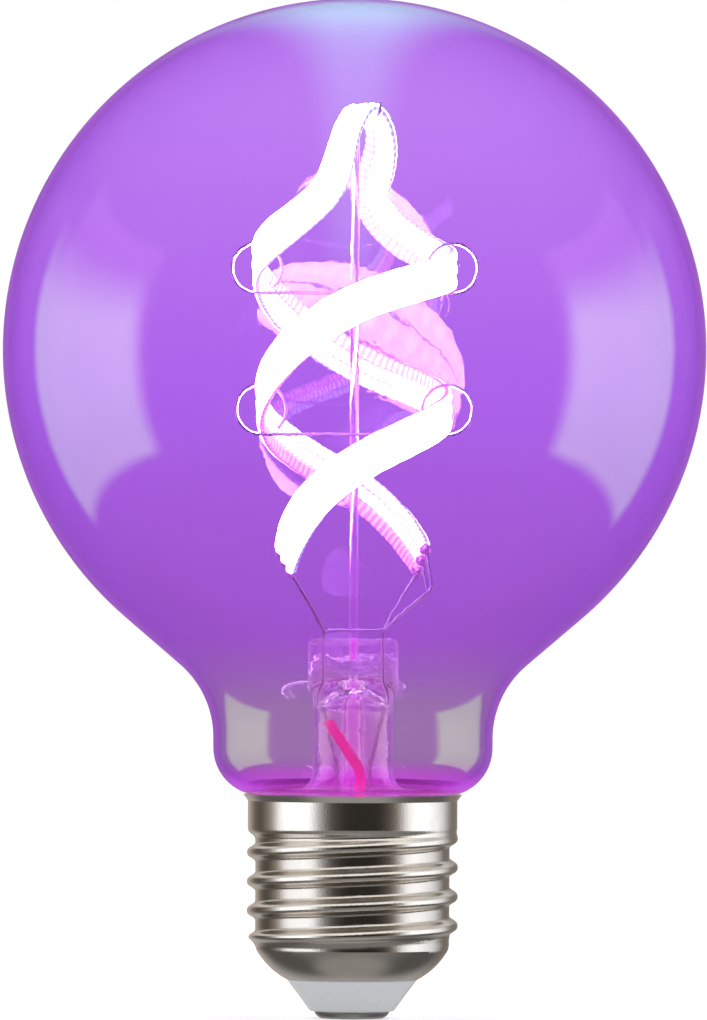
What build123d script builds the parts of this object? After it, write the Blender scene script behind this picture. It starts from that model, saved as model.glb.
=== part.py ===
from build123d import *
import math
import os

# Spiral filament LED globe bulb on an E27 screw cap
# Millimetres, +Z up, origin on the axis at the face of the centre contact

# Centre contact and insulator
contact_diameter = 9.4
contact_face_diameter = 7.0
contact_height = 0.9
rivet_diameter = 3.8
rivet_bore = 1.0
rivet_head = 0.5
insulator_tip_diameter = 10.4
insulator_height = 3.9
insulator_floor = 3.2
insulator_wall = 2.1
insulator_edge = 0.5

# Screw shell: cone, rolled E27 thread and skirt
shell_wall = 0.35
mouth_diameter = 16.2
cone_top_diameter = 24.0
cone_height = 3.8
cone_bulge = 0.4
thread_major = 26.3
thread_minor = 24.2
thread_pitch = 25.4 / 7
thread_length = 15.2
thread_runout = 1.9
thread_start_angle = 64
sections_per_turn = 8
skirt_diameter = 26.1
skirt_height = 4.1
lip_height = 0.8
lip_overhang = 0.6

# Blown glass envelope
glass_wall = 0.8
globe_diameter = 87.6
shoulder_angle = 49.4
neck_diameter = 34.8
neck_height = 1.2
neck_fillet = 12.0
neck_base_radius = 6.0
neck_base_angle = 70
spigot_diameter = 24.4
neck_seat_drop = 0.3

# Glass stem, exhaust tube and rod
stem_diameter = 10.0
stem_wall = 0.8
stem_length = 23.8
press_width = 11.3
press_thickness = 4.8
press_corner = 1.7
press_height = 5.0
press_blend = 3.1
dome_height = 3.0
dome_drop = 1.2
exhaust_diameter = 3.0
exhaust_bore = 1.6
exhaust_embed = 1.0
exhaust_tail = 3.0
blow_hole_rise = 1.1
blow_hole_diameter = 1.2
rod_diameter = 1.1
rod_embed = 2.8

# Support wires, as heights above the top of the press
support_wire_diameter = 0.4
ring_diameter = 6.2
ring_sweep = 318
lower_ring_rise = 28.2
lower_ring_reach = 11.6
upper_ring_rise = 45.8
upper_ring_reach = 12.2
hook_clearance = 0.4
hook_tip = 1.6
hook_embed = 2.5
hook_stub = 3.0
hook_bend = 0.8

# Filament strips: rises above the top of the press, shares of the way between two heights
strip_width = 1.5
strip_thickness = 0.9
strip_gap = 0.1
end_angle = 40
end_rise = 9.6
end_reach = 11.0
coil_radius = 14.5
rear_low_share = 0.48
front_low_share = 0.62
rear_high_share = 0.35
front_high_share = 0.73
low_climb_reach = 13.0
low_climb_share = 0.28
rear_low_climb = 67
front_low_climb = 48
high_climb_reach = 8.6
high_climb_share = 0.535
rear_high_climb = 76
front_high_climb = 63
arch_rise = 62.85
arch_radius = 3.0
arch_lean = 1.05
arch_angle = 47
stations = 96

# Lead wires, sleeve and solder
lead_diameter = 0.4
lead_spread = 3.7
lead_depth = 0.9
lead_stub = 1.0
lead_bend = 0.8
waist_radius = 2.7
waist_angle = 40
elbow_reach = 0.8
bead_diameter = 1.5
bead_offset = 0.45
sleeve_diameter = 1.3
sleeve_clearance = 0.1
sleeve_swing = 0.9
sleeve_front = 2.9
sleeve_fall = 7.5
sleeve_bend = 4.0
sleeve_start = 0.16

# Driver in the cap
board_thickness = 1.0
board_clearance = 0.6
pad_radius = 3.0
chip_height = 1.5
chip_standoff = 0.1
chip_lead_width = 0.45
chip_lead_thickness = 0.2
chip_lead_reach = 0.9
chip_lead_pitch = 1.27
bridge_length = 4.7
bridge_width = 3.9
driver_length = 4.9
driver_width = 3.8
chip_share = 0.6
bridge_angle = 225
driver_angle = 315
capacitor_diameter = 5.0
capacitor_height = 7.0
capacitor_edge = 0.5
choke_diameter = 6.0
choke_winding_diameter = 5.2
choke_height = 6.0
choke_flange = 0.9
tall_share = 0.615
capacitor_angle = 30
choke_angle = 150
resistor_diameter = 2.2
resistor_length = 5.6
resistor_rise = 2.2
resistor_span = 8.6
resistor_lead = 0.6
resistor_bend = 0.6
resistor_share = 0.69
resistor_angle = 90
cap_wire_diameter = 0.5
cap_wire_bend = 0.6
neutral_angle = 180
neutral_rise = 2.0
neutral_run = 4.0
wall_gap = 0.1

# Heights and radii that follow from the sizes above
z_insulator = contact_height
z_shell = z_insulator + insulator_height
z_thread = z_shell + cone_height
z_skirt = z_thread + thread_length
z_rim = z_skirt + skirt_height
mouth_radius = mouth_diameter / 2
cone_top_radius = cone_top_diameter / 2
skirt_radius = skirt_diameter / 2
z_floor = z_insulator + insulator_floor
z_board = z_thread + board_thickness
board_radius = cone_top_radius - shell_wall - board_clearance
chip_place = board_radius * chip_share
tall_place = board_radius * tall_share
resistor_place = board_radius * resistor_share

spigot_radius = spigot_diameter / 2
neck_radius = neck_diameter / 2
globe_radius = globe_diameter / 2
z_seat = z_rim - neck_seat_drop
z_spigot = z_skirt

stem_radius = stem_diameter / 2
stem_bore_radius = stem_radius - stem_wall
flare_rim_radius = spigot_radius - glass_wall
z_flare = z_spigot + stem_wall + flare_rim_radius - stem_radius
z_press_top = z_spigot + stem_length
z_press = z_press_top - press_height
z_tube_top = z_press - press_blend
z_dome = z_tube_top - dome_drop
z_exhaust_top = z_dome + dome_height + exhaust_embed
z_exhaust_tip = z_spigot - exhaust_tail

z_lower_ring = z_press_top + lower_ring_rise
z_upper_ring = z_press_top + upper_ring_rise
z_ends = z_press_top + end_rise
z_arch = z_press_top + arch_rise
z_hook = z_arch + arch_radius - strip_thickness / 2 - hook_clearance - support_wire_diameter / 2
z_rod_top = z_hook - hook_stub


def polar(angle, radius, height):
    """Point at an angle in degrees about the axis."""
    turn = math.radians(angle)
    return Vector(radius * math.cos(turn), radius * math.sin(turn), height)


def smooth(low, high, value):
    """Smooth step from 0 at low to 1 at high."""
    share = min(1.0, max(0.0, (value - low) / (high - low)))
    return share * share * (3 - 2 * share)


def arc(centre, radius, start, end):
    """Arc in the profile plane from one angle to another, in degrees."""
    ends = []
    for angle in (start, (start + end) / 2, end):
        turn = math.radians(angle)
        ends.append((centre[0] + radius * math.cos(turn), centre[1] + radius * math.sin(turn)))
    return ThreePointArc(*ends)


def turned(*edges):
    """Solid of revolution about the axis from the edges of a closed profile."""
    lines = [Plane.XZ * edge for edge in edges]
    return revolve(make_face(lines), Axis.Z)


def round_wire(path, diameter):
    """Round wire along a path of edges."""
    start = Plane(origin=path @ 0, z_dir=path % 0)
    return sweep(start * Circle(diameter / 2), path=path)


def bent_wire(points, diameter, bend):
    """Round wire along straight runs with rounded corners."""
    return round_wire(FilletPolyline(*points, radius=bend), diameter)


# Cap
def cone_edge(inset):
    """Bulged profile of the shell's cone, set in by a share of its wall."""
    low = Vector(mouth_radius - inset, z_shell)
    high = Vector(cone_top_radius - inset, z_thread)
    along = (high - low).normalized()
    middle = (low + high) / 2 + Vector(along.Y, -along.X) * cone_bulge
    return ThreePointArc(low, middle, high)


def thread_face(inset):
    """Knuckle thread's surface: a level circle whose centre climbs along a small helix."""
    mean_radius = (thread_major + thread_minor) / 4
    swing = (thread_major - thread_minor) / 4
    count = round(thread_length / thread_pitch * sections_per_turn)
    circles = []
    for step in range(count + 1):
        height = thread_length * step / count
        below = height < thread_length / 2
        blend = smooth(0, thread_runout, height if below else thread_length - height)
        end_radius = cone_top_radius if below else skirt_radius
        radius = end_radius + (mean_radius - end_radius) * blend - inset
        turn = thread_start_angle + 360 * height / thread_pitch
        centre = polar(turn, swing * blend, z_thread + height)
        circles.append(Plane(origin=centre) * Circle(radius))
    return loft(circles).faces().sort_by(SortBy.AREA)[-1]


def open_at(solid, height):
    """Faces of a solid without the level face at a height."""
    kept = []
    for face in solid.faces():
        level = abs(face.normal_at().Z) > 0.999
        if not (level and abs(face.center().Z - height) < 1e-6):
            kept.append(face)
    return kept


def make_screw_shell():
    """Thin plated shell: bulged cone, rolled thread and skirt with a flared lip."""
    cone = turned(
        cone_edge(0),
        Line((cone_top_radius, z_thread), (cone_top_radius - shell_wall, z_thread)),
        cone_edge(shell_wall),
        Line((mouth_radius - shell_wall, z_shell), (mouth_radius, z_shell)),
    )
    inner_radius = skirt_radius - shell_wall
    skirt = turned(
        Polyline(
            (skirt_radius, z_skirt),
            (skirt_radius, z_rim - lip_height),
            (skirt_radius + lip_overhang, z_rim),
            (inner_radius + lip_overhang, z_rim),
            (inner_radius, z_rim - lip_height),
            (inner_radius, z_skirt),
            close=True,
        )
    )
    thread = [thread_face(0), thread_face(shell_wall)]
    return Solid(Shell(open_at(cone, z_thread) + thread + open_at(skirt, z_skirt)))


def make_cap_insulator():
    """White moulding that closes the shell's mouth and carries the driver board on its rim."""
    rivet_radius = rivet_diameter / 2
    seat_radius = cone_top_radius - shell_wall
    body = turned(
        Polyline(
            (rivet_radius, z_insulator),
            (insulator_tip_diameter / 2, z_insulator),
            (mouth_radius, z_shell),
            (mouth_radius - shell_wall, z_shell),
        ),
        cone_edge(shell_wall),
        Polyline(
            (seat_radius, z_thread),
            (seat_radius - insulator_wall, z_thread),
            (mouth_radius - shell_wall - insulator_wall, z_floor),
            (rivet_radius, z_floor),
            (rivet_radius, z_insulator),
        ),
    )
    tip = body.edges().filter_by(GeomType.CIRCLE).sort_by(Axis.Z)[0:2].sort_by(SortBy.RADIUS)[-1]
    return fillet(tip, insulator_edge)


def make_centre_contact():
    """Contact button with a hollow rivet through the insulator."""
    face_radius = contact_face_diameter / 2
    button_radius = contact_diameter / 2
    z_top = z_floor + rivet_head
    rounded = ThreePointArc(
        (face_radius, 0),
        ((face_radius + 2 * button_radius) / 3, contact_height / 3),
        (button_radius, contact_height),
    )
    return turned(
        Line((0, 0), (face_radius, 0)),
        rounded,
        Polyline(
            (button_radius, contact_height),
            (rivet_diameter / 2, contact_height),
            (rivet_diameter / 2, z_top),
            (rivet_bore / 2, z_top),
            (rivet_bore / 2, contact_height),
            (0, contact_height),
            (0, 0),
        ),
    )


def make_cap_cement():
    """Ring of cement between the neck's spigot and the skirt."""
    outer_radius = skirt_radius - shell_wall
    z_top = min(z_seat, z_rim - lip_height)
    return turned(
        Polyline(
            (spigot_radius, z_skirt),
            (outer_radius, z_skirt),
            (outer_radius, z_top),
            (spigot_radius, z_top),
            close=True,
        )
    )


# Glass
def envelope_side(inset):
    """Profile of the envelope from pole to spigot, set in from the outer surface."""
    slope = math.radians(shoulder_angle)
    base_turn = math.radians(neck_base_angle)
    base_centre_radius = neck_radius - neck_base_radius
    base_end = base_centre_radius + neck_base_radius * math.cos(base_turn)
    z_base_end = z_seat + (base_end - spigot_radius) / math.tan(base_turn)
    z_base = z_base_end + neck_base_radius * math.sin(base_turn)
    z_fillet = z_base + neck_height
    fillet_end = neck_radius + neck_fillet * (1 - math.cos(slope))
    shoulder_run = (globe_radius * math.cos(slope) - fillet_end) / math.sin(slope)
    z_globe = z_fillet + neck_fillet * math.sin(slope) + shoulder_run * math.cos(slope)
    z_globe += globe_radius * math.sin(slope)

    globe = arc((0, z_globe), globe_radius - inset, 90, -shoulder_angle)
    bend = arc((neck_radius + neck_fillet, z_fillet), neck_fillet + inset, 180 - shoulder_angle, 180)
    base_radius = neck_base_radius - inset
    base = arc((base_centre_radius, z_base), base_radius, 0, -neck_base_angle)
    spigot = spigot_radius - inset
    fall = (base_centre_radius + base_radius * math.cos(base_turn) - spigot) / math.tan(base_turn)
    z_corner = z_base - base_radius * math.sin(base_turn) - fall
    return [
        globe,
        Line(globe @ 1, bend @ 0),
        bend,
        Line(bend @ 1, base @ 0),
        base,
        Polyline(base @ 1, (spigot, z_corner), (spigot, z_spigot)),
    ]


def envelope_body(inset):
    """Filled envelope, set in from the outer surface."""
    side = envelope_side(inset)
    top = side[0] @ 0
    low = side[-1] @ 1
    return turned(*side, Polyline(low, (0, low.Y), top))


def make_glass_envelope():
    """Blown globe, shoulder, neck and spigot in one wall."""
    return envelope_body(0) - envelope_body(glass_wall)


def make_stem_blank():
    """Flare, tube, blend and flat press before the wires are sealed in."""
    flare_radius = flare_rim_radius - stem_radius
    upper = arc((flare_rim_radius, z_flare), flare_radius, 180, 270)
    lower = arc((flare_rim_radius, z_flare), flare_radius + stem_wall, 180, 270)
    wall = turned(
        Line(lower @ 1, upper @ 1),
        upper,
        Polyline(
            (stem_radius, z_flare),
            (stem_radius, z_dome),
            (stem_bore_radius, z_dome),
            (stem_bore_radius, z_flare),
        ),
        lower,
    )
    collar = Plane.XY.offset(z_dome) * Circle(stem_radius)
    tube_end = RectangleRounded(stem_diameter, stem_diameter, stem_radius * 0.999)
    block = RectangleRounded(press_width, press_thickness, press_corner)
    blend = loft([Plane.XY.offset(z_tube_top) * tube_end, Plane.XY.offset(z_press) * block])
    press = extrude(Plane.XY.offset(z_press) * block, press_height)
    crest = press.edges().group_by(Axis.Z)[-1]
    press = fillet(crest, press_corner / 2)
    solid_top = extrude(collar, z_tube_top - z_dome) + blend + press
    dome = turned(
        Line((0, z_dome), (stem_bore_radius, z_dome)),
        EllipticalCenterArc((0, z_dome), stem_bore_radius, dome_height, 0, arc_size=90),
        Line((0, z_dome + dome_height), (0, z_dome)),
    )
    return wall + (solid_top - dome)


def make_exhaust_tube():
    """Thin tube fused into the underside of the press, with a closed tip in the cap."""
    outer = exhaust_diameter / 2
    inner = exhaust_bore / 2
    return turned(
        arc((0, z_exhaust_tip + outer), outer, -90, 0),
        Polyline(
            (outer, z_exhaust_tip + outer),
            (outer, z_exhaust_top),
            (inner, z_exhaust_top),
            (inner, z_exhaust_tip + outer),
        ),
        arc((0, z_exhaust_tip + outer), inner, 0, -90),
        Line((0, z_exhaust_tip + outer - inner), (0, z_exhaust_tip)),
    )


def make_blow_hole():
    """Passage from the exhaust tube's end to the rear of the press."""
    z_turn = z_exhaust_top + blow_hole_rise
    riser = Pos(0, 0, (z_exhaust_top + z_turn) / 2) * Cylinder(blow_hole_diameter / 2, blow_hole_rise)
    outlet = Plane(origin=(0, 0, z_turn), z_dir=(0, 1, 0)) * Circle(blow_hole_diameter / 2)
    return riser + extrude(outlet, press_thickness)


def make_support_rod():
    """Plain rod from the press to below the hook."""
    foot = z_press_top - rod_embed
    return extrude(Plane.XY.offset(foot) * Circle(rod_diameter / 2), z_rod_top - foot)


# Support wires
def make_ring_wire(reach, z_ring):
    """Wire through the rod that ends in an open ring on each side."""
    radius = ring_diameter / 2
    z_arm = z_ring - radius
    left = CenterArc((-reach, z_ring), radius, 270 - ring_sweep, ring_sweep)
    right = CenterArc((reach, z_ring), radius, -90, ring_sweep)
    arm = Line((-reach, z_arm), (reach, z_arm))
    path = Wire([Plane.XZ * edge for edge in left.edges() + arm.edges() + right.edges()])
    return round_wire(path, support_wire_diameter)


def make_top_hook():
    """Hook that rises from the rod and turns out under the strips, along the ridge of the arch."""
    path = bundle_path()
    ridge = outward(path @ 0.5).cross(path % 0.5).normalized()
    half_band = 1.5 * strip_width + strip_gap
    tip = Vector(arch_lean, 0, z_hook) + ridge * (half_band + (hook_bend + support_wire_diameter) / 2)
    tip = Vector(tip.X, tip.Y, z_hook)
    points = [
        Vector(0, 0, z_rod_top - hook_embed),
        Vector(0, 0, z_hook),
        tip,
        tip + Vector(0, 0, hook_tip),
    ]
    return bent_wire(points, support_wire_diameter, hook_bend)


# Filament strips
def between(low, high, share):
    """Height at a share of the way from one height to another."""
    return low + share * (high - low)


def strand_points(turn, low_share, high_share, low_climb, high_climb):
    """Way points of one strand of the double spiral, from its lower end to the arch."""
    marks = [
        (end_angle, end_reach, z_ends),
        (90, coil_radius, between(z_ends, z_lower_ring, low_share)),
        (180, lower_ring_reach, z_lower_ring),
        (270, coil_radius, between(z_lower_ring, z_upper_ring, high_share)),
        (360, upper_ring_reach, z_upper_ring),
        (360 + low_climb, low_climb_reach, between(z_upper_ring, z_arch, low_climb_share)),
        (360 + high_climb, high_climb_reach, between(z_upper_ring, z_arch, high_climb_share)),
    ]
    return [polar(angle + turn, radius, height) for angle, radius, height in marks]


def bundle_path():
    """Centre line of the strips: up one strand, over the hook and down the other."""
    rise = strand_points(0, rear_low_share, front_high_share, rear_low_climb, rear_high_climb)
    fall = strand_points(180, front_low_share, rear_high_share, front_low_climb, front_high_climb)
    middle = Vector(arch_lean, 0, z_arch)
    foot = polar(arch_angle, arch_radius, 0)
    arch = [middle + foot, middle + Vector(0, 0, arch_radius), middle - foot]
    return Spline(*rise, *arch, *reversed(fall))


def outward(point):
    """Direction from the spiral's axis, or over the hook from the arch's centre, to a point."""
    lean = arch_lean * smooth(z_upper_ring, z_arch, point.Z)
    return point - Vector(lean, 0, min(point.Z, z_arch))


def strip_stations(place):
    """Points along one strip, each with the way its face looks; place is -1, 0 or 1 across."""
    path = bundle_path()
    marks = []
    for step in range(stations + 1):
        point = path @ (step / stations)
        out = outward(point)
        across = out.cross(path % (step / stations)).normalized()
        marks.append((point + across * (place * (strip_width + strip_gap)), out))
    return marks


def strip_line(place):
    """Centre line of one strip."""
    return Spline(*[point for point, out in strip_stations(place)])


def make_strip(place):
    """Flexible strip lofted through sections along its centre line."""
    centre = strip_line(place)
    sections = []
    for point, out in strip_stations(place):
        along = centre % centre.param_at_point(point)
        plane = Plane(origin=point, x_dir=out.cross(along), z_dir=along)
        sections.append(plane * Rectangle(strip_width, strip_thickness))
    return loft(sections)


def strip_end_plane(place, last):
    """Plane on one end face of a strip, facing away from the strip."""
    centre = strip_line(place)
    share = 1 if last else 0
    along = (centre % share) * (1 if last else -1)
    return Plane(origin=centre @ share, z_dir=along)


def strip_end(place, last):
    """Point just past one end of a strip, at the centre of its bead."""
    return strip_end_plane(place, last).from_local_coords(Vector(0, 0, bead_offset))


# Leads, sleeve and solder
def lead_seal(side, depth):
    """Straight stretch of a lead in the press, from the stem's bore upwards."""
    x = side * lead_spread
    y = depth * lead_depth
    return [Vector(x, y, z_dome), Vector(x, y, z_press_top + lead_stub)]


def board_pad(side, depth):
    """Point on the board's upper face where a lead is soldered, and the stub above it."""
    pad = polar(math.degrees(math.atan2(depth, side)), pad_radius, z_board)
    return [pad, pad + Vector(0, 0, lead_stub)]


def lead_foot(side, depth):
    """Lead from the board through the stem to just above the press."""
    waist = Vector(waist_radius * math.cos(math.radians(waist_angle)) * side, 0, z_flare)
    waist += Vector(0, waist_radius * math.sin(math.radians(waist_angle)) * depth, 0)
    return board_pad(side, depth) + [waist] + lead_seal(side, depth)


def sleeve_corners():
    """Corners of the sleeved lead's sweep across the front of the exhaust tube."""
    return [
        Vector(sleeve_swing, -sleeve_front, z_dome - sleeve_fall),
        Vector(sleeve_swing, -sleeve_front, z_spigot),
    ]


def make_common_lead():
    """Lead from the left of the press to all three left strip ends."""
    pad = board_pad(-1, -1)
    high, low = sleeve_corners()
    seal = lead_seal(-1, -1)
    points = pad + [low, high] + seal + [strip_end(1, True), strip_end(-1, True)]
    bends = [lead_bend, lead_bend, sleeve_bend, lead_bend, lead_bend, lead_bend]
    return bent_wire(points, lead_diameter, bends)


def make_lead_sleeve():
    """Red sleeve over the common lead inside the stem."""
    high, low = sleeve_corners()
    top = lead_seal(-1, -1)[0]
    start = top + (high - top) * sleeve_start
    bore = lead_diameter + 2 * sleeve_clearance
    path = [start, high, low]
    return bent_wire(path, sleeve_diameter, sleeve_bend) - bent_wire(path, bore, sleeve_bend)


def make_side_lead(place, depth):
    """Lead from the right of the press to one right strip end."""
    end = strip_end(place, False)
    foot = lead_foot(1, depth)
    elbow = Vector(end.X + elbow_reach, end.Y - elbow_reach, (foot[-1].Z + end.Z) / 2)
    return bent_wire(foot + [elbow, end], lead_diameter, lead_bend)


def make_crossing_lead(place):
    """Lead from the left of the press, across behind the rod, to a right strip end."""
    end = strip_end(place, False)
    foot = lead_foot(-1, 1)
    turn = Vector(lead_spread, lead_depth + lead_stub, foot[-1].Z)
    return bent_wire(foot + [turn, end], lead_diameter, lead_bend)


def make_solder_joints():
    """Bead on the end face of each strip, round the end of its lead."""
    beads = []
    for place, right_lead in right_leads.items():
        for last, lead in ((True, common_lead), (False, right_lead)):
            ball = Pos(strip_end(place, last)) * Sphere(bead_diameter / 2)
            bead = split(ball, bisect_by=strip_end_plane(place, last), keep=Keep.TOP) - lead
            beads.append(bead.solids().sort_by(SortBy.VOLUME)[-1])
    return Compound(children=beads)


# Driver
def make_driver_board():
    """Round board that rests on the insulator's rim."""
    return extrude(Plane.XY.offset(z_thread) * Circle(board_radius), board_thickness)


def make_chip(angle, length, width, leads):
    """Moulded chip with leads along both long sides, on the board."""
    body = Pos(0, 0, chip_standoff + chip_height / 2) * Box(length, width, chip_height)
    span = width + 2 * chip_lead_reach
    for index in range(leads):
        x = (index - (leads - 1) / 2) * chip_lead_pitch * 4 / leads
        bar = Pos(x, 0, chip_height / 2) * Box(chip_lead_width, span, chip_lead_thickness)
        body += bar
        for side in (-1, 1):
            y = side * (span - chip_lead_thickness) / 2
            foot = Box(chip_lead_width, chip_lead_thickness, chip_height / 2)
            body += Pos(x, y, chip_height / 4) * foot
    return Pos(polar(angle, chip_place, z_board)) * Rot(0, 0, angle + 90) * body


def make_capacitor(angle):
    """Can capacitor standing on the board."""
    can = extrude(Circle(capacitor_diameter / 2), capacitor_height)
    can = fillet(can.edges().group_by(Axis.Z)[-1], capacitor_edge)
    return Pos(polar(angle, tall_place, z_board)) * can


def make_choke(angle):
    """Drum choke: winding between two flanges."""
    core = turned(
        Polyline(
            (0, 0),
            (choke_diameter / 2, 0),
            (choke_diameter / 2, choke_flange),
            (choke_winding_diameter / 2, choke_flange),
            (choke_winding_diameter / 2, choke_height - choke_flange),
            (choke_diameter / 2, choke_height - choke_flange),
            (choke_diameter / 2, choke_height),
            (0, choke_height),
            close=True,
        )
    )
    return Pos(polar(angle, tall_place, z_board)) * core


def make_fusible_resistor(angle):
    """Axial resistor on bent leads above the board."""
    half = resistor_span / 2
    points = [(-half, 0, 0), (-half, 0, resistor_rise), (half, 0, resistor_rise), (half, 0, 0)]
    leads = bent_wire(points, resistor_lead, resistor_bend)
    body = Pos(0, 0, resistor_rise) * Rot(0, 90, 0) * Cylinder(resistor_diameter / 2, resistor_length)
    return Pos(polar(angle, resistor_place, z_board)) * Rot(0, 0, angle + 90) * (leads + body)


def make_live_wire():
    """Straight wire from the contact's rivet to the board."""
    foot = Plane.XY.offset(contact_height) * Circle(cap_wire_diameter / 2)
    return extrude(foot, z_thread - contact_height)


def make_neutral_wire():
    """Wire from the board to the inside of the shell, along a thread root."""
    wall = thread_minor / 2 - shell_wall - wall_gap - cap_wire_diameter / 2
    edge = min(board_radius, wall) - cap_wire_diameter
    points = [
        polar(neutral_angle, edge, z_board),
        polar(neutral_angle, edge, z_board + neutral_rise),
        polar(neutral_angle, wall, z_board + 2 * neutral_rise),
        polar(neutral_angle, wall, z_board + 2 * neutral_rise + neutral_run),
    ]
    return bent_wire(points, cap_wire_diameter, cap_wire_bend)


common_lead = make_common_lead()
right_leads = {-1: make_crossing_lead(-1), 0: make_side_lead(0, 1), 1: make_side_lead(1, -1)}
exhaust_plug = extrude(Plane.XY.offset(z_dome) * Circle(exhaust_diameter / 2), z_exhaust_top - z_dome)
rod = make_support_rod()
lower_wire = make_ring_wire(lower_ring_reach, z_lower_ring)
upper_wire = make_ring_wire(upper_ring_reach, z_upper_ring)
hook = make_top_hook()

stem = make_stem_blank() - exhaust_plug - make_blow_hole() - rod - common_lead
for lead in right_leads.values():
    stem -= lead

pieces = {
    "screw_shell": make_screw_shell(),
    "cap_insulator": make_cap_insulator(),
    "centre_contact": make_centre_contact(),
    "cap_cement": make_cap_cement(),
    "glass_envelope": make_glass_envelope(),
    "glass_stem": stem,
    "exhaust_tube": make_exhaust_tube(),
    "support_rod": rod - lower_wire - upper_wire - hook,
    "lower_support_wire": lower_wire,
    "upper_support_wire": upper_wire,
    "top_hook": hook,
    "filament_red": make_strip(-1),
    "filament_green": make_strip(0),
    "filament_blue": make_strip(1),
    "common_lead": common_lead,
    "red_lead": right_leads[-1],
    "green_lead": right_leads[0],
    "blue_lead": right_leads[1],
    "lead_sleeve": make_lead_sleeve(),
    "solder_joints": make_solder_joints(),
    "driver_board": make_driver_board(),
    "bridge_rectifier": make_chip(bridge_angle, bridge_length, bridge_width, 2),
    "driver_chip": make_chip(driver_angle, driver_length, driver_width, 4),
    "smoothing_capacitor": make_capacitor(capacitor_angle),
    "choke_coil": make_choke(choke_angle),
    "fusible_resistor": make_fusible_resistor(resistor_angle),
    "live_wire": make_live_wire(),
    "neutral_wire": make_neutral_wire(),
}

os.makedirs("parts", exist_ok=True)
for name, piece in pieces.items():
    export_step(piece, f"parts/{name}.step")
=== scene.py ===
"""Dresses the spiral filament globe bulb and sets it on a plain studio stage."""

import math

import bmesh
import bpy
import numpy as np
from mathutils import Matrix, Vector


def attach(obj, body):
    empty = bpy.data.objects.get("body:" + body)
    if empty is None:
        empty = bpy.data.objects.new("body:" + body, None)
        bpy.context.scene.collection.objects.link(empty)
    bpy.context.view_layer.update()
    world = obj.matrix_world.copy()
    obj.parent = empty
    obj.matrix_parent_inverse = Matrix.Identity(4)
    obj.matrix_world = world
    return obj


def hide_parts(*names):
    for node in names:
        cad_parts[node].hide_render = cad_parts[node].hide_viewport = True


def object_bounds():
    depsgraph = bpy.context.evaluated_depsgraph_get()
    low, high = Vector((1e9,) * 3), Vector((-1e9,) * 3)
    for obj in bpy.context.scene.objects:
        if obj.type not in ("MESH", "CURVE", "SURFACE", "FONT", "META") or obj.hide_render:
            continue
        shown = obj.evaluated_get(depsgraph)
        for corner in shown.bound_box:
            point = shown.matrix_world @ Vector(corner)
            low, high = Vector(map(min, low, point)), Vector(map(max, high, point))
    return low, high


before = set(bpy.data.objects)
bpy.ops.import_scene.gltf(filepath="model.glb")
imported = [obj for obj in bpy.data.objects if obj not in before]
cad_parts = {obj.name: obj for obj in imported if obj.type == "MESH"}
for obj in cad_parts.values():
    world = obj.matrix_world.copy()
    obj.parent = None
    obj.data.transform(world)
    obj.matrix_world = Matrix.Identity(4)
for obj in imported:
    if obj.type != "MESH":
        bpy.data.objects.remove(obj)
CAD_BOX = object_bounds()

bl_info = {
    "name": "Spiral Filament Globe Bulb",
    "version": (1, 0, 0),
    "blender": (4, 5, 0),
    "location": "3D View > Sidebar > Bulb",
    "description": "Glass globe, spiral LED filaments and screw cap around the packed bulb",
    "category": "Object",
}

BODY = "root"
IMAGE_HEIGHT = 1020
MM = 0.001
WHITE = (1.0, 1.0, 1.0)

# Shortest radius that isn't taken for the axis, and how near points are merged
ON_AXIS = 1e-9
MERGE_DISTANCE = 2e-7

# Angles in degrees from which an edge is sharp
LATHE_SHARP = 50
STRIP_SHARP = 60
GLASS_SHARP = 40
WIRE_SHARP = 50
SHELL_SHARP = 32
BASE_SHARP = 30

# Steps along the globe's line, a strip's route and a strip's corners
GLOBE_STEPS = 72
BEND_STEPS = 18
SHOULDER_STEPS = 6
BASE_STEPS = 14
CURVE_STEPS = 3000
ROUTE_STEPS = 361
CORNER_STEPS = 3

# Strands of the double spiral, fitted to the photograph: shares of the way from end to lower ring and from
# lower to upper ring where a strand crosses the rod, and its turns past the upper ring in degrees at the
# marks of the climb; a mark is a distance from the axis and a share of the way from upper ring to arch
REAR_STRAND = (0.48, 0.73, 67, 76)
FRONT_STRAND = (0.62, 0.35, 48, 63)
CLIMB_MARKS = ((0.013, 0.28), (0.0086, 0.535))

# Glass: refraction, distances from the axis over which a painted pale halo of the strips' light fills the
# pole, clouds, and how far a face turns away before it counts as the stem's edge with its painted glow
GLOBE_INDEX = 1.46
STEM_INDEX = 1.5
POLE_HALO_BAND = (0.021, 0.004)
HAZE_SHARE = 0.12
HAZE_TINT = (0.85, 0.7, 1.0)
SEED_TINT = (1.0, 0.92, 1.0)
STEM_EDGE = (0.25, 0.8)

# Strips, from unlit to lit: across the thickness from -1 behind to 1 on the chips, and the chips' beat
CHIP_SIDE = (0.25, 0.75)
BARE_SIDE = (-0.6, -0.95)
CHIP_BEAT = (-0.1, 0.6)
CHIP_GAIN = 1.3
CHIP_LIGHT = (1.0, 0.97, 1.0)
DASH_FLOOR = 0.35
PINK_FADE = 0.006

# Metal: broad grain against fine grain, stretch and depth of drawn lines, distances from the axis between
# painted root shade and bright crests, how dark the shade is painted, and roughness in and between the pits
BROAD_SHARE = 0.08
DRAWN_SCALE = (60.0, 60.0, 9000.0)
LINE_DEPTH = 0.35
ROOT_SHADE_BAND = (0.0119, 0.0129)
ROOT_SHADE_SHARE = 0.45
NICKEL_ROUGHS = (0.22, 0.09)

NODE_STEP = 180


# Sizes and colours a user would change


def size(name, description, default):
    """Length property in metres."""
    return bpy.props.FloatProperty(
        name=name, description=description, default=default, unit="LENGTH", subtype="DISTANCE", precision=5
    )


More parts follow.
